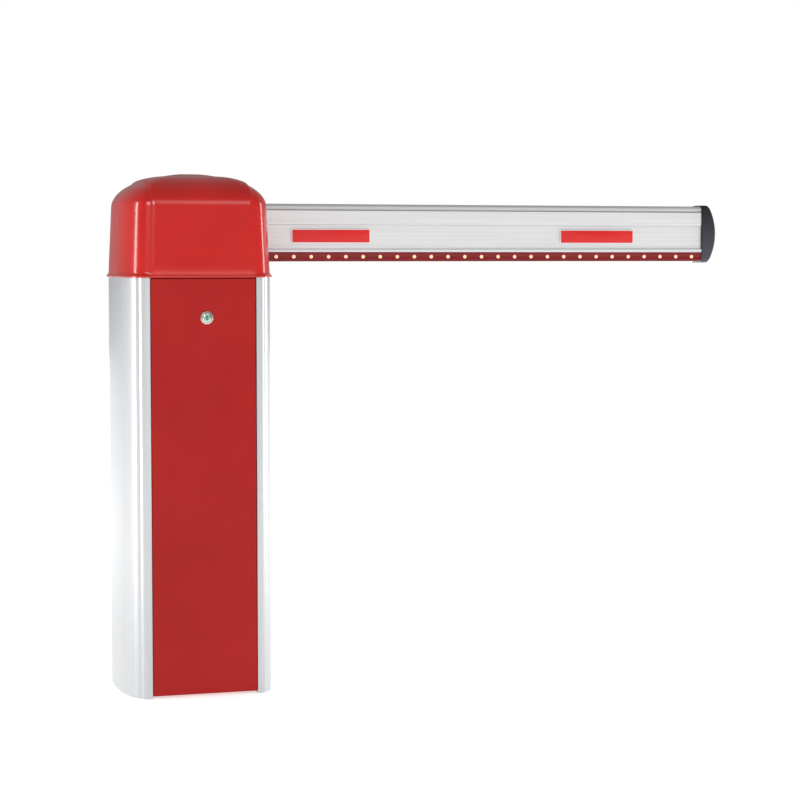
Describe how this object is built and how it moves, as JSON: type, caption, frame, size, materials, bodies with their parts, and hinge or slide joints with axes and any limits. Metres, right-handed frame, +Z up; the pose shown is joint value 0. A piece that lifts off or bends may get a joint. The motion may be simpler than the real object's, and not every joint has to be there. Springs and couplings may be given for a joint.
{
  "type": "parking barrier gate",
  "caption": "Barrier gate: bowed aluminium cabinet with a red hood and lift-off door, and a lit aluminium boom that swings up on a shaft behind the hood.",
  "frame": {"origin": "centre of the base plate's anchor bolt pattern, on its bottom face", "axes": "+X along the closed boom, -Y out of the door, +Z up"},
  "size_m": [1.421, 0.3805, 1.05],
  "materials": {
    "red_hood": "glossy moulded",
    "red_powder_coat": "powder coated",
    "column_aluminium": "satin lacquered",
    "boom_aluminium": "satin lacquered",
    "zinc_steel": "zinc plated",
    "turned_steel": "turned",
    "dark_painted_steel": "satin paint",
    "cast_iron_paint": "painted casting",
    "drive_blue": "hammered paint",
    "bronze": "cut",
    "spring_steel": "black coated",
    "nickel": "nickel plated",
    "black_rubber": "matt",
    "black_plastic": "moulded",
    "cap_charcoal": "moulded",
    "led_red": "extruded",
    "lamp_cream": "moulded lens",
    "reflector_red": "retroreflective film",
    "grey_plastic": "moulded",
    "board_green": "lacquered",
    "parts_mixed": "moulded"
  },
  "bodies": {
    "cabinet": {"base_plate": "zinc_steel", "post_front_left": "zinc_steel", "post_front_right": "zinc_steel", "post_rear_left": "zinc_steel", "post_rear_right": "zinc_steel", "deck_plate": "zinc_steel", "column_left": "column_aluminium", "column_right": "column_aluminium", "back_panel": "red_powder_coat", "hood": "red_hood", "hood_screws": "zinc_steel", "mechanism_plate": "dark_painted_steel", "front_bearing_plate": "dark_painted_steel", "bearing_rear": "cast_iron_paint", "bearing_front": "cast_iron_paint", "buffers": "black_rubber", "door_sill": "zinc_steel", "hinge_pins": "zinc_steel", "door_seals": "black_rubber", "reducer_housing": "drive_blue", "reducer_cover": "drive_blue", "balance_spring": "spring_steel", "tension_rod": "zinc_steel", "spring_anchor": "dark_painted_steel", "motor_body": "drive_blue", "limit_switches": "black_plastic", "component_plate": "zinc_steel", "controller_box": "grey_plastic", "controller_board": "board_green", "power_parts": "parts_mixed"},
    "boom_arm": {"main_shaft": "turned_steel", "shaft_keys": "turned_steel", "drive_lever": "dark_painted_steel", "spring_lever": "dark_painted_steel", "lever_pins": "turned_steel", "limit_cams": "black_plastic", "boom_bracket": "dark_painted_steel", "boom_clamp": "dark_painted_steel", "clamp_bolts": "zinc_steel", "boom_profile": "boom_aluminium", "led_strip": "led_red", "led_lamps": "lamp_cream", "reflector_near": "reflector_red", "reflector_far": "reflector_red", "end_cap": "cap_charcoal"},
    "door": {"door_panel": "red_powder_coat", "door_lugs": "zinc_steel", "lock_barrel": "nickel", "lock_nut": "nickel"},
    "lock": {"lock_plug": "nickel", "lock_cam": "nickel"},
    "crank": {"output_shaft": "turned_steel", "worm_wheel": "bronze", "crank_arm": "dark_painted_steel", "crank_pin": "turned_steel"},
    "rod": {"connecting_rod": "turned_steel", "rod_nuts": "zinc_steel"},
    "hanger": {"spring_hanger": "dark_painted_steel"},
    "rotor": {"motor_rotor": "turned_steel", "hand_wheel": "black_plastic"}
  },
  "joints": [
    {"name": "boom_swing", "type": "hinge", "parent": "cabinet", "child": "boom_arm", "pos_m": [0, 0.19, 0.936], "axis": [0, -1, 0], "range_deg": [0, 90], "deforming": ["balance_spring"]},
    {"name": "crank_turn", "type": "hinge", "parent": "cabinet", "child": "crank", "pos_m": [0, 0.013, 0.64], "axis": [0, -1, 0], "range_deg": [0, 90]},
    {"name": "rod_pivot", "type": "hinge", "parent": "crank", "child": "rod", "pos_m": [0.0495, 0, 0.5905], "axis": [0, -1, 0], "range_deg": [-90, 0]},
    {"name": "hanger_pivot", "type": "hinge", "parent": "boom_arm", "child": "hanger", "pos_m": [-0.04243, -0.02, 0.97843], "axis": [0, -1, 0], "range_deg": [-90, 0]},
    {"name": "rotor_spin", "type": "hinge", "parent": "cabinet", "child": "rotor", "pos_m": [-0.04, 0.08, 0.4], "axis": [0, 0, 1], "range_deg": [0, 2700]},
    {"name": "door_tilt", "type": "hinge", "parent": "cabinet", "child": "door", "pos_m": [0, -0.141, 0.018], "axis": [1, 0, 0], "range_deg": [0, 45]},
    {"name": "lock_turn", "type": "hinge", "parent": "door", "child": "lock", "pos_m": [0.006, -0.13, 0.763], "axis": [0, -1, 0], "range_deg": [0, 90]}
  ],
  "couplings": [
    {"joint": "crank_turn", "follows": "boom_swing", "ratio": 1},
    {"joint": "rod_pivot", "follows": "boom_swing", "ratio": -1},
    {"joint": "hanger_pivot", "follows": "boom_swing", "ratio": -1},
    {"joint": "rotor_spin", "follows": "boom_swing", "ratio": 30}
  ]
}
